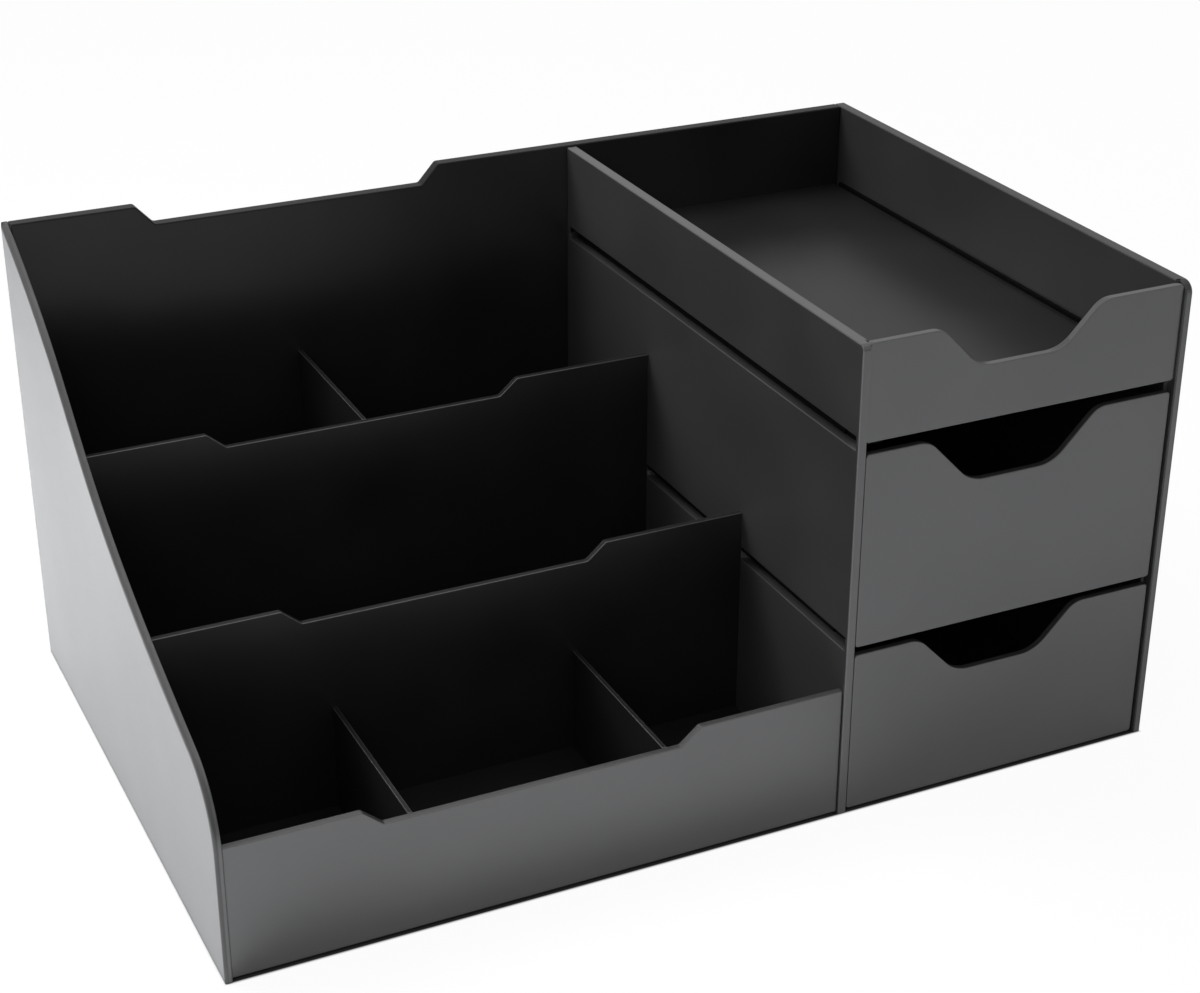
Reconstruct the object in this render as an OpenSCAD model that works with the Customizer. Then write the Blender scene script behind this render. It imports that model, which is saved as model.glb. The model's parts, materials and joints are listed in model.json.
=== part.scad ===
// Countertop organizer made of bonded flat panels: an open stepped section with three
// rows on the left, and a tower on the right with an open top tray and two drawers.
// Millimetres. +X right, +Y back, +Z up. The origin is the middle of the footprint, on
// the surface that the organizer stands on. The drawers are drawn closed.

/* [Overall] */
// Width over both side panels
body_w = 320; // [290:1:360]
// Depth from the front edge of the walls to the rear face
body_d = 210; // [185:1:240]
// Height of the tower and of the back panel
body_h = 162; // [150:1:190]
// Thickness of the left side panel
side_t = 2.3; // [1.8:0.1:3]
// Thickness of the middle wall
wall_t = 3.8; // [3:0.1:5]
// Thickness of the right side panel
right_t = 4; // [3.4:0.1:5]
// Thickness of the back panel
back_t = 4.5; // [3:0.1:6]
// Thickness of the two base panels
base_t = 2.5; // [2:0.1:3.5]
// Gap between the standing surface and everything that hangs clear of it
base_lift = 0.8; // [0.5:0.1:1.5]
// Distance from the front edge of the walls back to the fronts between them
front_recess = 1; // [0.4:0.1:2]

/* [Stepped section] */
// Height of the front panel
front_h = 45.4; // [40:0.1:52]
// Thickness of the front panel
front_t = 2.4; // [2:0.1:4]
// Rise from the front panel's top to the top of the front row divider
front_rise_h = 31.6; // [22:0.1:34]
// Rise from the top of the front row divider to the top of the rear row divider
row_rise = 29.5; // [22:0.5:34]
// Thickness of the row dividers
row_t = 2; // [1.6:0.1:3]
// Clear depth of the front row
front_row_d = 64.6; // [52:0.1:72]
// Clear depth of the middle row
middle_row_d = 68; // [52:1:72]
// Depth of the lowered stretch in the front panel and the row dividers
notch_drop = 5.5; // [4:0.5:10]
// Depth of the lowered stretch in the back panel
back_notch_drop = 7; // [4:0.5:12]
// Sideways run of the sloping ends of a lowered stretch
notch_run = 6.4; // [3:0.1:10]
// From the left side panel to the lowered stretch
notch_left = 48; // [30:1:60]
// From the lowered stretch to the middle wall
notch_right = 56; // [30:1:60]
// Radius of the corners of a lowered stretch
notch_r = 1.6; // [0.4:0.1:2.5]
// Thickness of the short dividers inside the rows
cell_t = 1.5; // [1.2:0.1:2.5]
// Clear width of the left compartment of the front row
front_left_cell = 56; // [35:1:60]
// Clear width of the right compartment of the front row
front_right_cell = 60; // [35:1:65]
// Clear width of the left compartment of the rear row
rear_left_cell = 95; // [70:0.5:110]

/* [Sloping rim of the left side] */
// Height below the front panel's top where the upright front edge starts to round over
nose_drop = 2.4; // [0:0.1:6]
// Radius of the rounded front corner
nose_r = 26; // [16:0.5:30]
// Slope of the rim just behind the rounded corner, in degrees
front_rise = 16; // [10:1:24]
// Slope of the rim at the back, in degrees
rear_fall = 21; // [14:1:28]
// Length over which the front slope leads the curve
front_lead = 133; // [105:1:145]
// Length over which the rear slope leads the curve
rear_lead = 94; // [60:1:105]

/* [Tower] */
// Clear width between the front edges of the middle wall and the right side panel
bay_w = 112.3; // [95:0.1:130]
// Depth of the rebate in the middle wall that takes the left ends of the fronts
middle_rebate = 0.8; // [0.4:0.1:1.2]
// Depth of the rebate in the right side panel that takes the right ends of the fronts
right_rebate = 1.3; // [0.4:0.1:1.6]
// Height of the lower drawer's front
lower_front_h = 56.2; // [48:0.1:60]
// Gap between the two drawer fronts
lower_gap = 2.8; // [2.4:0.1:5]
// Height of the upper drawer's front
upper_front_h = 65.7; // [56:0.1:68]
// Gap between the upper drawer's front and the tray front
upper_gap = 3.8; // [2.4:0.1:6]
// Height by which the middle wall and the tray front stay below the outer panels
inner_drop = 0.6; // [0:0.1:1.5]
// Thickness of the drawer fronts and the tray front
tower_front_t = 2.5; // [2:0.1:3.5]
// Thickness of the tray floor
tray_floor_t = 2.5; // [2:0.1:3.5]
// Radius of the top front corner of the middle wall
middle_corner_r = 2; // [1:0.5:6]
// Radius of the top front corner of the right side panel
right_corner_r = 4; // [1:0.5:8]

/* [Finger scoops] */
// Width of the flat bottom of a scoop
scoop_w = 30; // [20:1:40]
// Slope of the sides of a scoop, in degrees
scoop_slope = 46; // [38:1:60]
// Sideways place of the scoops from the middle of the tower
scoop_shift = -2.5; // [-6:0.5:6]
// Depth of the scoop in the tray front
tray_scoop_d = 14.1; // [10:0.1:16.5]
// Depth of the scoop in the upper drawer's front
upper_scoop_d = 16.2; // [10:0.1:20]
// Depth of the scoop in the lower drawer's front
lower_scoop_d = 14.8; // [10:0.1:20]
// Radius of the upper corners of a scoop
scoop_top_r = 8; // [3:0.5:9]
// Radius of the lower corners of a scoop
scoop_bottom_r = 12; // [5:0.5:14]
// Radius of the outer corners of the drawer fronts and the tray front
front_corner_r = 1.2; // [0.4:0.1:2]

/* [Drawers and runners] */
// Thickness of the drawer sides, backs and floors
drawer_t = 2; // [1.6:0.1:2.6]
// Gap at each end of a drawer front
front_gap = 0.6; // [0.5:0.1:1.4]
// Gap between a drawer's box and the runner beside it
side_gap = 0.6; // [0.4:0.1:1.2]
// Height by which a drawer's sides and back stay below its front
side_drop = 4; // [3:0.5:8]
// Gap between a closed drawer's box and the back panel
back_gap = 2; // [1:0.1:5]
// Gap under a drawer's floor
slide_gap = 0.2; // [0.1:0.05:0.3]
// Gap between a closed drawer's front and the shoulder that stops it
stop_gap = 0.3; // [0.2:0.05:0.6]
// Height by which the upper drawer's front hides the ledges behind it
ledge_cover = 1.5; // [1:0.1:2.5]
// Width of the ledge of a runner
ledge_w = 7; // [5:0.5:10]
// Thickness of the ledge of a runner
ledge_t = 2; // [1.4:0.1:2.2]
// Thickness of the upright flange of a runner
flange_t = 1.2; // [0.8:0.1:1.6]
// Length by which the flange and the tongue start behind the front end of the ledge
flange_setback = 9; // [4:0.5:20]
// Height of the slots in the walls that hold the runners
slot_h = 4.6; // [3.6:0.1:5.4]
// Depth of the lower edge of a slot below the top of the ledge
slot_drop = 1.7; // [1:0.1:2]
// Distance from the front edge of a wall to its slots
slot_front = 1.5; // [1:0.1:4]
// Distance from the back panel to the rear end of a slot
slot_rear = 3; // [2:0.5:8]
// Depth by which a runner's tongue enters its slot
tongue_d = 0.8; // [0.5:0.1:1.4]
// Gap round a tongue in its slot
tongue_gap = 0.15; // [0.1:0.05:0.3]
// Height by which a flange laps the wall above and below the slot
flange_lap = 1; // [0.6:0.1:1.4]

/* [Hidden] */

// Segments of a small rounded corner, of the side's front corner and of its sloping rim
corner_steps = 8;
nose_steps = 16;
rim_steps = 32;
// Length by which a cutter runs past the faces that it cuts
past = 1;

// Colours
wall_colour = [0.17, 0.17, 0.18];
front_colour = [0.24, 0.24, 0.25];
divider_colour = [0.12, 0.12, 0.13];
drawer_colour = [0.20, 0.20, 0.21];
runner_colour = [0.07, 0.07, 0.07];

// Planes across the width
left_x = -body_w / 2;
right_x = body_w / 2;
stepped_x0 = left_x + side_t;
bay_x1 = right_x - right_t + right_rebate;
bay_x0 = bay_x1 - bay_w;
inner_x0 = bay_x0 + middle_rebate;
inner_x1 = bay_x1 - right_rebate;
stepped_x1 = inner_x0 - wall_t;
scoop_x = (bay_x0 + bay_x1) / 2 + scoop_shift;

// Planes along the depth
front_y = -body_d / 2;
back_y = body_d / 2;
panel_y = front_y + front_recess;
front_row_y0 = panel_y + front_t;
front_row_y1 = front_row_y0 + front_row_d;
middle_row_y0 = front_row_y1 + row_t;
middle_row_y1 = middle_row_y0 + middle_row_d;
rear_row_y0 = middle_row_y1 + row_t;
inner_back_y = back_y - back_t;
stop_y = panel_y + tower_front_t + stop_gap;
slot_y0 = front_y + slot_front;
slot_y1 = inner_back_y - slot_rear;
flange_y = stop_y + flange_setback;

// Depth of the blind slots in the right side panel, whose outer face is plain
groove_d = tongue_d + tongue_gap;

// Levels
base_z = base_lift + base_t;
nose_z = front_h - nose_drop;
front_row_h = front_h + front_rise_h;
rear_row_h = front_row_h + row_rise;
lower_front_z = base_lift;
upper_front_z = lower_front_z + lower_front_h + lower_gap;
tray_z = upper_front_z + upper_front_h + upper_gap;
inner_top = body_h - inner_drop;
tray_front_h = inner_top - tray_z;
lower_ledge_z = upper_front_z + ledge_cover;

// Sizes of a drawer's box
box_inset = flange_t + side_gap;
box_x0 = inner_x0 + box_inset;
box_x1 = inner_x1 - box_inset;
box_y0 = panel_y + tower_front_t;
box_y1 = inner_back_y - back_gap;

// ---- Outlines ----

// Arc of radius r that replaces the corner b between the points a and c
function corner_arc(a, b, c, r) =
    let (
        u = (a - b) / norm(a - b),
        v = (c - b) / norm(c - b),
        half = acos(u * v) / 2,
        centre = b + (u + v) / norm(u + v) * r / sin(half),
        start = b + u * r / tan(half) - centre,
        end = b + v * r / tan(half) - centre,
        a0 = atan2(start.y, start.x),
        turn = (atan2(end.y, end.x) - a0 + 540) % 360 - 180
    )
    [for (i = [0:corner_steps])
        let (t = a0 + turn * i / corner_steps) centre + r * [cos(t), sin(t)]];

// Closed outline with each corner rounded by its own radius, where 0 is sharp
function rounded(points, radii) =
    let (n = len(points))
    [for (i = [0:n - 1]) each
        radii[i] > 0
            ? corner_arc(points[(i + n - 1) % n], points[i], points[(i + 1) % n], radii[i])
            : [points[i]]];

// Point of a cubic curve at t, from 0 to 1
function cubic(p, t) =
    pow(1 - t, 3) * p[0] + 3 * pow(1 - t, 2) * t * p[1]
    + 3 * (1 - t) * t * t * p[2] + pow(t, 3) * p[3];

// Panel outline from z0 to z1 with a lowered stretch in its top edge
function notched(x0, x1, z0, z1, drop) =
    let (low0 = stepped_x0 + notch_left, low1 = stepped_x1 - notch_right)
    rounded(
        [[x0, z0], [x1, z0], [x1, z1], [low1 + notch_run, z1], [low1, z1 - drop],
         [low0, z1 - drop], [low0 - notch_run, z1], [x0, z1]],
        [0, 0, 0, notch_r, notch_r, notch_r, notch_r, 0]);

// Front outline from x0 to x1 with a finger scoop in its top edge
function scooped(x0, x1, z0, h, depth) =
    let (z1 = z0 + h, half = scoop_w / 2, run = depth / tan(scoop_slope))
    rounded(
        [[x0, z0], [x1, z0], [x1, z1], [scoop_x + half + run, z1],
         [scoop_x + half, z1 - depth], [scoop_x - half, z1 - depth],
         [scoop_x - half - run, z1], [x0, z1]],
        [front_corner_r, front_corner_r, front_corner_r, scoop_top_r, scoop_bottom_r,
         scoop_bottom_r, scoop_top_r, front_corner_r]);

// Rim of the left side: a rounded nose, then one long curve up to the back
function side_outline() =
    let (
        nose_y = front_y + nose_r,
        nose = [for (i = [0:nose_steps])
            let (t = 180 - (90 - front_rise) * i / nose_steps)
            [nose_y, nose_z] + nose_r * [cos(t), sin(t)]],
        foot = nose[nose_steps],
        top = [back_y, body_h],
        curve = [
            foot,
            foot + front_lead * [1, tan(front_rise)],
            top - rear_lead * [1, tan(rear_fall)],
            top
        ]
    )
    concat(
        [[back_y, 0], [front_y, 0]],
        nose,
        [for (i = [1:rim_steps]) cubic(curve, i / rim_steps)]);

// Upright wall outline up to the height top, with a rounded top front corner
function wall_outline(top, r) =
    rounded([[front_y, 0], [back_y, 0], [back_y, top], [front_y, top]], [0, 0, 0, r]);

// ---- Plates ----

// Plate of thickness t across the width from x, from a 2D outline in Y and Z
module plate_x(x, t) {
    translate([x, 0, 0]) rotate([90, 0, 90]) linear_extrude(t) children();
}

// Plate of thickness t along the depth from y, from a 2D outline in X and Z
module plate_y(y, t) {
    translate([0, y + t, 0]) rotate([90, 0, 0]) linear_extrude(t) children();
}

// Block between two opposite corners
module block(low, high) {
    translate(low) cube(high - low);
}

// ---- Stepped section ----

module left_side_panel() {
    color(wall_colour) plate_x(left_x, side_t) polygon(side_outline());
}

module front_panel() {
    color(front_colour) plate_y(panel_y, front_t)
        polygon(notched(stepped_x0, stepped_x1, base_lift, front_h, notch_drop));
}

module row_divider(y, h) {
    color(divider_colour) plate_y(y, row_t)
        polygon(notched(stepped_x0, stepped_x1, base_z, h, notch_drop));
}

// Short divider from x, level with the lowered stretch of the panel in front of it
module cell_divider(x, y0, y1, h) {
    color(divider_colour) block([x, y0, base_z], [x + cell_t, y1, h - notch_drop]);
}

module front_row_divider() { row_divider(front_row_y1, front_row_h); }
module rear_row_divider() { row_divider(middle_row_y1, rear_row_h); }

module front_left_cell_divider() {
    cell_divider(stepped_x0 + front_left_cell, front_row_y0, front_row_y1, front_h);
}

module front_right_cell_divider() {
    cell_divider(stepped_x1 - front_right_cell - cell_t, front_row_y0, front_row_y1, front_h);
}

module rear_cell_divider() {
    cell_divider(stepped_x0 + rear_left_cell, rear_row_y0, inner_back_y, rear_row_h);
}

module stepped_base() {
    color(divider_colour)
        block([stepped_x0, front_row_y0, base_lift], [stepped_x1, inner_back_y, base_z]);
}

// ---- Walls ----

module back_panel() {
    color(wall_colour) plate_y(inner_back_y, back_t)
        polygon(notched(stepped_x0, inner_x1, 0, body_h, back_notch_drop));
}

// Cutters from x0 to x1 for the two slots of a wall, beside the ledges
module wall_slots(x0, x1) {
    for (z = [lower_ledge_z, tray_z])
        block([x0, slot_y0, z - slot_drop], [x1, slot_y1, z - slot_drop + slot_h]);
}

// Cutter from x0 to x1 for the rebate in a wall's front edge. The ends of the fronts lie in
// it, and its shoulder is the stop that a closing drawer's front meets.
module wall_rebate(x0, x1) {
    block([x0, front_y - past, -past], [x1, stop_y, body_h + past]);
}

module middle_wall() {
    color(wall_colour) difference() {
        intersection() {
            plate_x(stepped_x1, wall_t) polygon(wall_outline(inner_top, middle_corner_r));
            block([left_x, front_y, 0], [right_x, inner_back_y, inner_top]);
        }
        wall_slots(stepped_x1 - past, inner_x0 + past);
        wall_rebate(bay_x0, inner_x0 + past);
    }
}

module right_side_panel() {
    color(wall_colour) difference() {
        plate_x(inner_x1, right_t) polygon(wall_outline(body_h, right_corner_r));
        wall_slots(inner_x1 - past, inner_x1 + groove_d);
        wall_rebate(inner_x1 - past, bay_x1);
    }
}

module tower_base() {
    color(divider_colour)
        block([inner_x0, stop_y, base_lift], [inner_x1, inner_back_y, base_z]);
}

// ---- Top tray ----

module tray_floor() {
    color(divider_colour) block(
        [inner_x0 + flange_t, box_y0, tray_z],
        [inner_x1 - flange_t, inner_back_y, tray_z + tray_floor_t]);
}

module tray_front() {
    color(front_colour) plate_y(panel_y, tower_front_t)
        polygon(scooped(bay_x0, bay_x1, tray_z, tray_front_h, tray_scoop_d));
}

// ---- Runners ----

// Runner on the left wall, with the top of its ledge at z. Its flange covers the wall's
// slot from inside, its tongue sits in the slot, and the front end of its ledge lies level
// with the shoulder of the wall's rebate.
module left_runner(z) {
    slot_z0 = z - slot_drop;
    slot_z1 = slot_z0 + slot_h;
    color(runner_colour) {
        block([inner_x0, stop_y, z - ledge_t], [inner_x0 + ledge_w, slot_y1, z]);
        block([inner_x0, flange_y, slot_z0 - flange_lap],
            [inner_x0 + flange_t, slot_y1, slot_z1 + flange_lap]);
        block([inner_x0 - tongue_d, flange_y, slot_z0 + tongue_gap],
            [inner_x0 + flange_t, slot_y1 - tongue_gap, slot_z1 - tongue_gap]);
    }
}

// The same runner, handed for the right wall
module right_runner(z) {
    translate([inner_x0 + inner_x1, 0, 0]) mirror([1, 0, 0]) left_runner(z);
}

module upper_left_runner() { left_runner(tray_z); }
module upper_right_runner() { right_runner(tray_z); }
module lower_left_runner() { left_runner(lower_ledge_z); }
module lower_right_runner() { right_runner(lower_ledge_z); }

// ---- Drawers ----

module drawer_front(z, h, scoop_d) {
    color(front_colour) plate_y(panel_y, tower_front_t)
        polygon(scooped(bay_x0 + front_gap, bay_x1 - front_gap, z, h, scoop_d));
}

module drawer_floor(z) {
    color(drawer_colour) block([box_x0, box_y0, z], [box_x1, box_y1, z + drawer_t]);
}

// Side from x, standing on the floor that starts at z
module drawer_side(x, z, top) {
    color(drawer_colour) block([x, box_y0, z + drawer_t], [x + drawer_t, box_y1, top]);
}

module drawer_back(z, top) {
    color(drawer_colour) block(
        [box_x0 + drawer_t, box_y1 - drawer_t, z + drawer_t],
        [box_x1 - drawer_t, box_y1, top]);
}

// Levels of the two boxes: the underside of the floor, and the top of the sides
upper_floor_z = lower_ledge_z + slide_gap;
upper_side_z = upper_front_z + upper_front_h - side_drop;
lower_floor_z = base_z + slide_gap;
lower_side_z = lower_front_z + lower_front_h - side_drop;

module upper_drawer_front() { drawer_front(upper_front_z, upper_front_h, upper_scoop_d); }
module upper_drawer_floor() { drawer_floor(upper_floor_z); }
module upper_drawer_left_side() { drawer_side(box_x0, upper_floor_z, upper_side_z); }
module upper_drawer_right_side() { drawer_side(box_x1 - drawer_t, upper_floor_z, upper_side_z); }
module upper_drawer_back() { drawer_back(upper_floor_z, upper_side_z); }

module lower_drawer_front() { drawer_front(lower_front_z, lower_front_h, lower_scoop_d); }
module lower_drawer_floor() { drawer_floor(lower_floor_z); }
module lower_drawer_left_side() { drawer_side(box_x0, lower_floor_z, lower_side_z); }
module lower_drawer_right_side() { drawer_side(box_x1 - drawer_t, lower_floor_z, lower_side_z); }
module lower_drawer_back() { drawer_back(lower_floor_z, lower_side_z); }

left_side_panel();
front_panel();
front_row_divider();
rear_row_divider();
front_left_cell_divider();
front_right_cell_divider();
rear_cell_divider();
stepped_base();
back_panel();
middle_wall();
right_side_panel();
tower_base();
tray_floor();
tray_front();
upper_left_runner();
upper_right_runner();
lower_left_runner();
lower_right_runner();
upper_drawer_front();
upper_drawer_floor();
upper_drawer_left_side();
upper_drawer_right_side();
upper_drawer_back();
lower_drawer_front();
lower_drawer_floor();
lower_drawer_left_side();
lower_drawer_right_side();
lower_drawer_back();
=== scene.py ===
import json
import math

import bpy
from mathutils import Matrix, Vector

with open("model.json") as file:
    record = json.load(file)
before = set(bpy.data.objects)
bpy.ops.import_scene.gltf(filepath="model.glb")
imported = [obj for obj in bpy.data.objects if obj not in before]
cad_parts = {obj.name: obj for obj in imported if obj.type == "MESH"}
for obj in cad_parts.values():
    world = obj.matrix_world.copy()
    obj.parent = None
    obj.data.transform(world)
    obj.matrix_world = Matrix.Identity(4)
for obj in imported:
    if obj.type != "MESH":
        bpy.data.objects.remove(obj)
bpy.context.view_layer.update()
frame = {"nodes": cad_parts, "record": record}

nodes = frame["nodes"]
scene = bpy.context.scene

# All lengths are in metres. The organizer's footprint is centred on the origin, and its drawers open towards -y.
HALF_WIDTH = 0.16
HALF_DEPTH = 0.105

# ---- Camera: the photograph's viewing angle, from a fit to the object's edges ----

AZIMUTH, ELEVATION, ROLL = math.radians(-25.423), math.radians(26.238), math.radians(0.143)
CAMERA_AT = Vector((-0.29369, -0.63429, 0.41965))
SENSOR_WIDTH_MM = 36.0
FOCAL_LENGTH_MM = 70.014

forward = Vector((
    -math.sin(AZIMUTH) * math.cos(ELEVATION),
    math.cos(AZIMUTH) * math.cos(ELEVATION),
    -math.sin(ELEVATION),
))
level = Vector((math.cos(AZIMUTH), math.sin(AZIMUTH), 0.0))
upright = level.cross(forward)
right = level * math.cos(ROLL) + upright * math.sin(ROLL)
up = right.cross(forward)

camera_data = bpy.data.cameras.new("camera")
camera_data.sensor_fit = "HORIZONTAL"
camera_data.sensor_width = SENSOR_WIDTH_MM
camera_data.lens = FOCAL_LENGTH_MM
camera_data.clip_start = 0.01
camera_data.clip_end = 50.0
camera = bpy.data.objects.new("camera", camera_data)
camera.matrix_world = Matrix((
    (right.x, up.x, -forward.x, CAMERA_AT.x),
    (right.y, up.y, -forward.y, CAMERA_AT.y),
    (right.z, up.z, -forward.z, CAMERA_AT.z),
    (0.0, 0.0, 0.0, 1.0),
))
scene.collection.objects.link(camera)
scene.camera = camera

# ---- Node helpers ----

# The part of a noise's range that most of its values lie in
NOISE_LOW, NOISE_HIGH = 0.3, 0.7


def new_material(name):
    """Material with nothing but a Principled shader on its output."""
    material = bpy.data.materials.new(name)
    material.use_nodes = True
    tree = material.node_tree
    tree.nodes.clear()
    output = tree.nodes.new("ShaderNodeOutputMaterial")
    shader = tree.nodes.new("ShaderNodeBsdfPrincipled")
    tree.links.new(shader.outputs["BSDF"], output.inputs["Surface"])
    return material, tree, shader, output


def noise(tree, scale, detail):
    """Noise in the object's own coordinates, with scale in cycles per metre."""
    place = tree.nodes.new("ShaderNodeTexCoord")
    texture = tree.nodes.new("ShaderNodeTexNoise")
    texture.inputs["Scale"].default_value = scale
    texture.inputs["Detail"].default_value = detail
    tree.links.new(place.outputs["Object"], texture.inputs["Vector"])
    return texture.outputs["Fac"]


def spread(tree, value, low, high, low_in=NOISE_LOW, high_in=NOISE_HIGH):
    """Value remapped from low_in..high_in to low..high, and held there."""
    node = tree.nodes.new("ShaderNodeMapRange")
    node.inputs["From Min"].default_value = low_in
    node.inputs["From Max"].default_value = high_in
    node.inputs["To Min"].default_value = low
    node.inputs["To Max"].default_value = high
    tree.links.new(value, node.inputs["Value"])
    return node.outputs["Result"]


def math_node(tree, operation, a, b):
    """Result of an operation on the output a and on b, which is an output or a number."""
    node = tree.nodes.new("ShaderNodeMath")
    node.operation = operation
    tree.links.new(a, node.inputs[0])
    if isinstance(b, float):
        node.inputs[1].default_value = b
    else:
        tree.links.new(b, node.inputs[1])
    return node.outputs[0]


def split_xyz(tree, vector):
    """The three parts of a vector, by the keys X, Y and Z."""
    node = tree.nodes.new("ShaderNodeSeparateXYZ")
    tree.links.new(vector, node.inputs[0])
    return node.outputs


def bump(tree, height, distance, under=None):
    """Normal of a relief of that height, over the relief below it if there is one."""
    node = tree.nodes.new("ShaderNodeBump")
    node.inputs["Distance"].default_value = distance
    tree.links.new(height, node.inputs["Height"])
    if under:
        tree.links.new(under, node.inputs["Normal"])
    return node.outputs["Normal"]


# ---- Materials ----

PLASTIC_IOR = 1.59

# Scales of the patterns, in cycles per metre
MOTTLE_SCALE = 26.0
SMEAR_SCALE = 14.0
SPECK_SCALE = 420.0
WAVE_SCALE = 9.0
GRAIN_SCALE = 1500.0

# How far the patterns go: in roughness, and in metres of relief
SMEAR_ROUGHNESS = (-0.01, 0.025)
SPECK_ROUGHNESS = 0.003
WAVE_HEIGHT = 0.0004
GRAIN_HEIGHT = 0.0000002


def plastic(name, dark, light, roughness, specular):
    """Satin plastic sheet: a mottled tone, faint smears, a slightly wavy face and a fine grain."""
    material, tree, shader, _ = new_material(name)
    shader.inputs["IOR"].default_value = PLASTIC_IOR
    shader.inputs["Specular IOR Level"].default_value = specular

    ramp = tree.nodes.new("ShaderNodeValToRGB")
    for stop, position, colour in zip(ramp.color_ramp.elements, (NOISE_LOW, NOISE_HIGH), (dark, light)):
        stop.position = position
        stop.color = (*colour, 1.0)
    tree.links.new(noise(tree, MOTTLE_SCALE, 2.0), ramp.inputs["Fac"])
    tree.links.new(ramp.outputs["Color"], shader.inputs["Base Color"])

    smears = spread(tree, noise(tree, SMEAR_SCALE, 2.0), *SMEAR_ROUGHNESS)
    specks = spread(
        tree, noise(tree, SPECK_SCALE, 1.0), roughness - SPECK_ROUGHNESS, roughness + SPECK_ROUGHNESS
    )
    tree.links.new(math_node(tree, "ADD", smears, specks), shader.inputs["Roughness"])

    wave = bump(tree, noise(tree, WAVE_SCALE, 1.0), WAVE_HEIGHT)
    grain = bump(tree, noise(tree, GRAIN_SCALE, 1.0), GRAIN_HEIGHT, under=wave)
    tree.links.new(grain, shader.inputs["Normal"])
    return material


DARK, LIGHT = (0.027, 0.027, 0.0275), (0.035, 0.035, 0.0355)
# Painted shade: a darker copy of the same plastic for the dividers and the back panel, for the shade inside the
# compartments
INNER_SHADE_DARK, INNER_SHADE_LIGHT = (0.008, 0.008, 0.0083), (0.012, 0.012, 0.0124)
# Painted shade: a near-black copy for the runners, so that the slots they fill read as deep dark grooves
RUNNER_SHADE_DARK, RUNNER_SHADE_LIGHT = (0.002, 0.002, 0.002), (0.003, 0.003, 0.003)
# Painted highlight: a lighter copy of the plastic for rounded edges and rim tops
EDGE_HIGHLIGHT_DARK, EDGE_HIGHLIGHT_LIGHT = (0.036, 0.036, 0.0365), (0.045, 0.045, 0.0455)

# Faces, by the record's material slots: dark tone, light tone, roughness and specular level
FACES = {
    "walls": plastic("wall_plastic", DARK, LIGHT, 0.29, 0.92),
    "fronts": plastic("front_plastic", DARK, LIGHT, 0.29, 0.92),
    # Painted shade: the dividers' copy is darker and less glossy than the walls'
    "dividers": plastic("divider_painted_shade_plastic", INNER_SHADE_DARK, INNER_SHADE_LIGHT, 0.31, 0.26),
    "drawer_boxes": plastic("drawer_plastic", DARK, LIGHT, 0.34, 0.5),
    # Painted shade: near black and dull, for the shade in the slots
    "runners": plastic("runner_painted_shade_plastic", RUNNER_SHADE_DARK, RUNNER_SHADE_LIGHT, 0.75, 0.05),
}

# Rounded edges and the tops of the rims. On most pieces they get a lighter copy of the plastic, a painted highlight;
# on the three panels below they get a duller copy or the darker inner copy, painted shade.
EDGE = plastic("edge_plastic", EDGE_HIGHLIGHT_DARK, EDGE_HIGHLIGHT_LIGHT, 0.29, 0.95)
EDGES = {
    # Painted shade: duller copies of the plastic on these panels' edges and rim tops, and the darker inner copy on the
    # back panel's
    "left_side_panel": plastic("left_edge_painted_shade_plastic", DARK, LIGHT, 0.3, 0.55),
    "right_side_panel": plastic("right_edge_painted_shade_plastic", DARK, LIGHT, 0.36, 0.35),
    "back_panel": plastic("back_edge_painted_shade_plastic", INNER_SHADE_DARK, INNER_SHADE_LIGHT, 0.36, 0.14),
}
SLOTS = {part["node"]: part["material_slot"] for part in frame["record"]["subparts"]}

# ---- Rounded edges ----

WELD_DISTANCE = 0.00001
HOLLOW_ANGLE = -0.5   # radians: edges hollower than this stay sharp
CORNER_ANGLE = 0.7    # radians: edges that stand out more than this are rounded
RIM_HEIGHT = 0.15     # the rims' tops lie above this height
RIM_FACING = 0.3      # and face upwards by at least this much
# The edge material at this place paints a highlight on most pieces and shade on the side and back panels
EDGE_INDEX = 1        # place of the edge material on each piece


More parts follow.
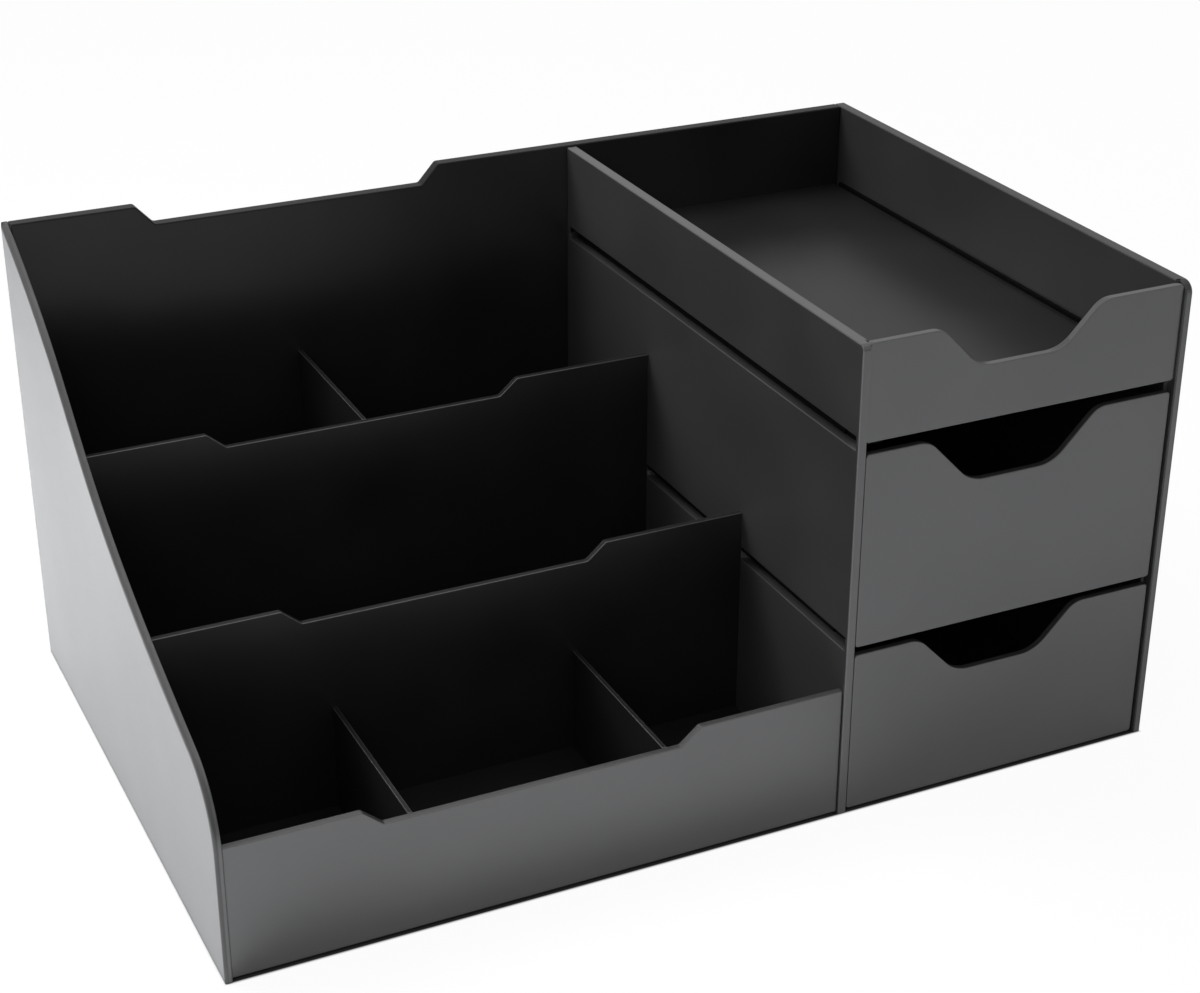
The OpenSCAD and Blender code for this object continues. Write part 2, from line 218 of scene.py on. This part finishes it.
def edge_group(name, weigh):
    """Modifier group that welds a piece, weighs its outward edges and gives the tops of its rims the edge material,
    which paints a highlight on most pieces and shade on the side and back panels.
    """
    group = bpy.data.node_groups.new(name, "GeometryNodeTree")
    for in_out in ("INPUT", "OUTPUT"):
        group.interface.new_socket("Geometry", in_out=in_out, socket_type="NodeSocketGeometry")

    plain = group.nodes.new("GeometryNodeRemoveAttribute")
    plain.inputs["Name"].default_value = "custom_normal"
    weld = group.nodes.new("GeometryNodeMergeByDistance")
    weld.inputs["Distance"].default_value = WELD_DISTANCE
    smooth = group.nodes.new("GeometryNodeSetShadeSmooth")

    angle = group.nodes.new("GeometryNodeInputMeshEdgeAngle").outputs["Signed Angle"]
    sharp = group.nodes.new("GeometryNodeSetShadeSmooth")
    sharp.domain = "EDGE"
    sharp.inputs["Shade Smooth"].default_value = False
    group.links.new(math_node(group, "LESS_THAN", angle, HOLLOW_ANGLE), sharp.inputs["Selection"])

    place = split_xyz(group, group.nodes.new("GeometryNodeInputPosition").outputs[0])
    corner = math_node(group, "GREATER_THAN", angle, CORNER_ANGLE)
    store = group.nodes.new("GeometryNodeStoreNamedAttribute")
    store.domain = "EDGE"
    store.data_type = "FLOAT"
    store.inputs["Name"].default_value = "bevel_weight_edge"
    group.links.new(math_node(group, "MULTIPLY", weigh(group, place), corner), store.inputs["Value"])

    facing = split_xyz(group, group.nodes.new("GeometryNodeInputNormal").outputs[0])
    upward = math_node(group, "GREATER_THAN", facing["Z"], RIM_FACING)
    high = math_node(group, "GREATER_THAN", place["Z"], RIM_HEIGHT)
    # Rim tops get the edge material: a painted highlight, and painted shade on the side and back panels
    rims = group.nodes.new("GeometryNodeSetMaterialIndex")
    rims.inputs["Material Index"].default_value = EDGE_INDEX
    group.links.new(math_node(group, "MULTIPLY", upward, high), rims.inputs["Selection"])

    steps = [
        group.nodes.new("NodeGroupInput"), plain, weld, smooth, sharp, store, rims,
        group.nodes.new("NodeGroupOutput"),
    ]
    for before, after in zip(steps, steps[1:]):
        group.links.new(before.outputs[0], after.inputs[0])
    return group


def combined(group, how, weight, place, tests):
    """Weight combined with tests of a place, each of which gives 0 or 1."""
    for axis, operation, limit in tests:
        weight = math_node(group, how, weight, math_node(group, operation, place[axis], limit))
    return weight


def all_alike(group, place):
    """1 on every edge, since all of them lie above z = -1."""
    return math_node(group, "GREATER_THAN", place["Z"], -1.0)


def rims_and_ends(group, place):
    """1 on the rims and the front and back edges, 0.35 elsewhere."""
    weight = combined(
        group, "MAXIMUM", math_node(group, "GREATER_THAN", place["Z"], RIM_HEIGHT), place,
        (("Y", "LESS_THAN", 0.0005 - HALF_DEPTH), ("Y", "GREATER_THAN", HALF_DEPTH - 0.005)),
    )
    return math_node(group, "MAXIMUM", weight, 0.35)


def outer_side(group, place):
    """Left side panel: from 0.45 on the outer front edge to 1 on the outer rim, 0.12 elsewhere."""
    weight = combined(
        group, "MULTIPLY", spread(group, place["Z"], 0.45, 1.0, 0.035, 0.08), place,
        (("X", "LESS_THAN", 0.001 - HALF_WIDTH), ("Z", "GREATER_THAN", 0.001), ("Y", "LESS_THAN", HALF_DEPTH - 0.001)),
    )
    return math_node(group, "MAXIMUM", weight, 0.12)


ALL_EDGES = edge_group("all_edges", all_alike)
END_EDGES = edge_group("end_edges", rims_and_ends)
OUTER_EDGES = edge_group("outer_edges", outer_side)

# Edge group and greatest edge radius of the thick panels
PANELS = {
    "left_side_panel": (OUTER_EDGES, 0.002),
    "middle_wall": (END_EDGES, 0.0005),
    "right_side_panel": (END_EDGES, 0.0005),
    "back_panel": (END_EDGES, 0.0005),
}
FRONT_RADIUS = 0.0004
SHEET_RADIUS = 0.0002

for name, node in nodes.items():
    # The back panel is painted as dark as the dividers in front of it, with their darker material: painted shade
    slot = "dividers" if name == "back_panel" else SLOTS[name]
    group, radius = PANELS.get(name, (ALL_EDGES, FRONT_RADIUS if slot == "fronts" else SHEET_RADIUS))
    # Edges get the edge material: painted highlight, and painted shade on the side and back panels; the runners' edges
    # keep their near-black painted shade
    edge = FACES[slot] if slot == "runners" else EDGES.get(name, EDGE)
    node.data.materials.clear()
    for material in (FACES[slot], edge):
        node.data.materials.append(material)

    weights = node.modifiers.new("weights", "NODES")
    weights.node_group = group
    flats = node.modifiers.new("flats", "DECIMATE")
    flats.decimate_type = "DISSOLVE"
    flats.angle_limit = math.radians(0.1)
    bevel = node.modifiers.new("edges", "BEVEL")
    bevel.width = radius
    bevel.segments = 6 if name in PANELS else 3
    bevel.limit_method = "WEIGHT"
    bevel.use_clamp_overlap = False
    # Rounded edges get the edge material: painted highlight on most pieces, painted shade on the side and back panels
    bevel.material = EDGE_INDEX
    normals = node.modifiers.new("normals", "WEIGHTED_NORMAL")
    normals.weight = 100
    normals.keep_sharp = True

# ---- Floor ----

WHITE = (1.0, 1.0, 1.0, 1.0)
FLOOR_COLOUR = (0.80, 0.81, 0.83, 1.0)
# Painted shadow: the floor's colour under the object's footprint
PAINTED_SHADOW_COLOUR = (0.03, 0.03, 0.03, 1.0)
FLOOR_REACH = 6.0


def backdrop_share(tree, seen, mirrored):
    """Share of the white backdrop: seen in the camera's own view, mirrored in glossy and clear surfaces."""
    path = tree.nodes.new("ShaderNodeLightPath")
    either = math_node(tree, "MAXIMUM", path.outputs["Is Glossy Ray"], path.outputs["Is Transmission Ray"])
    other = math_node(tree, "MULTIPLY", either, mirrored)
    direct = math_node(tree, "MULTIPLY", path.outputs["Is Camera Ray"], seen)
    return math_node(tree, "ADD", direct, other)


floor_material, tree, shader, output = new_material("floor")
shader.inputs["Roughness"].default_value = 0.8

# The footprint is painted dark, a painted shadow, so that the gap under the panels reads as a thin dark line
distance = tree.nodes.new("ShaderNodeVectorMath")
distance.operation = "ABSOLUTE"
tree.links.new(tree.nodes.new("ShaderNodeTexCoord").outputs["Object"], distance.inputs[0])
sides = split_xyz(tree, distance.outputs[0])
beside = spread(tree, sides["X"], 0.0, 1.0, HALF_WIDTH - 0.001, HALF_WIDTH + 0.001)
before = spread(tree, sides["Y"], 0.0, 1.0, HALF_DEPTH - 0.0005, HALF_DEPTH + 0.0005)
clear = math_node(tree, "MAXIMUM", beside, before)
colour = tree.nodes.new("ShaderNodeMix")
colour.data_type = "RGBA"
colour.inputs["A"].default_value = PAINTED_SHADOW_COLOUR
colour.inputs["B"].default_value = FLOOR_COLOUR
tree.links.new(clear, colour.inputs["Factor"])
tree.links.new(colour.outputs["Result"], shader.inputs["Base Color"])

white = tree.nodes.new("ShaderNodeEmission")
white.inputs["Color"].default_value = WHITE
mix = tree.nodes.new("ShaderNodeMixShader")
tree.links.new(math_node(tree, "MULTIPLY", backdrop_share(tree, 0.95, 0.15), clear), mix.inputs[0])
tree.links.new(shader.outputs[0], mix.inputs[1])
tree.links.new(white.outputs[0], mix.inputs[2])
tree.links.new(mix.outputs[0], output.inputs["Surface"])

mesh = bpy.data.meshes.new("floor")
corners = [(x * FLOOR_REACH, y * FLOOR_REACH, 0.0) for x, y in ((-1, -1), (1, -1), (1, 1), (-1, 1))]
mesh.from_pydata(corners, [], [(0, 1, 2, 3)])
floor = bpy.data.objects.new("floor", mesh)
floor.data.materials.append(floor_material)
scene.collection.objects.link(floor)

# ---- World: a soft band of light above the horizon and a bright zenith, seen as plain white ----

# Brightness by the sine of the height above the horizon
SKY = ((0.0, 0.2), (0.2, 0.2), (0.34, 0.58), (0.52, 0.58), (0.68, 0.2), (1.0, 1.0))

world = bpy.data.worlds.new("world")
scene.world = world
world.use_nodes = True
tree = world.node_tree
sky = tree.nodes["Background"]
sky.inputs["Strength"].default_value = 1.0
height = tree.nodes.new("ShaderNodeValToRGB")
stops = height.color_ramp.elements
for position, _ in SKY[1:-1]:
    stops.new(position)
for stop, (_, brightness) in zip(stops, SKY):
    stop.color = (brightness, brightness, brightness, 1.0)
direction = split_xyz(tree, tree.nodes.new("ShaderNodeTexCoord").outputs["Generated"])
tree.links.new(direction["Z"], height.inputs["Fac"])
tree.links.new(height.outputs["Color"], sky.inputs["Color"])

backdrop = tree.nodes.new("ShaderNodeBackground")
backdrop.inputs["Color"].default_value = WHITE
choose = tree.nodes.new("ShaderNodeMixShader")
tree.links.new(backdrop_share(tree, 1.0, 0.22), choose.inputs[0])
tree.links.new(sky.outputs[0], choose.inputs[1])
tree.links.new(backdrop.outputs[0], choose.inputs[2])
tree.links.new(choose.outputs[0], tree.nodes["World Output"].inputs["Surface"])

# ---- Lamps ----

def area(name, at, aim, size, watts, spread_degrees=180.0):
    """Square soft box that has no mirror image of its own in the object."""
    data = bpy.data.lights.new(name, "AREA")
    data.shape = "SQUARE"
    data.size = size
    data.energy = watts
    data.spread = math.radians(spread_degrees)
    light = bpy.data.objects.new(name, data)
    light.visible_glossy = False
    light.location = at
    light.rotation_euler = (Vector(aim) - Vector(at)).to_track_quat("-Z", "Y").to_euler()
    scene.collection.objects.link(light)


area("key", (-0.65, 0.42, 0.6), (-0.42, 0.15, 0.0), 0.4, 2.3, 80.0)
area("top", (-0.3, 0.32, 0.9), (0.05, -0.1, 0.0), 0.5, 7.8)
area("fill", (-0.5, -0.75, 0.8), (0.1, -0.2, 0.0), 0.8, 1.7)

scene.view_settings.view_transform = "Standard"
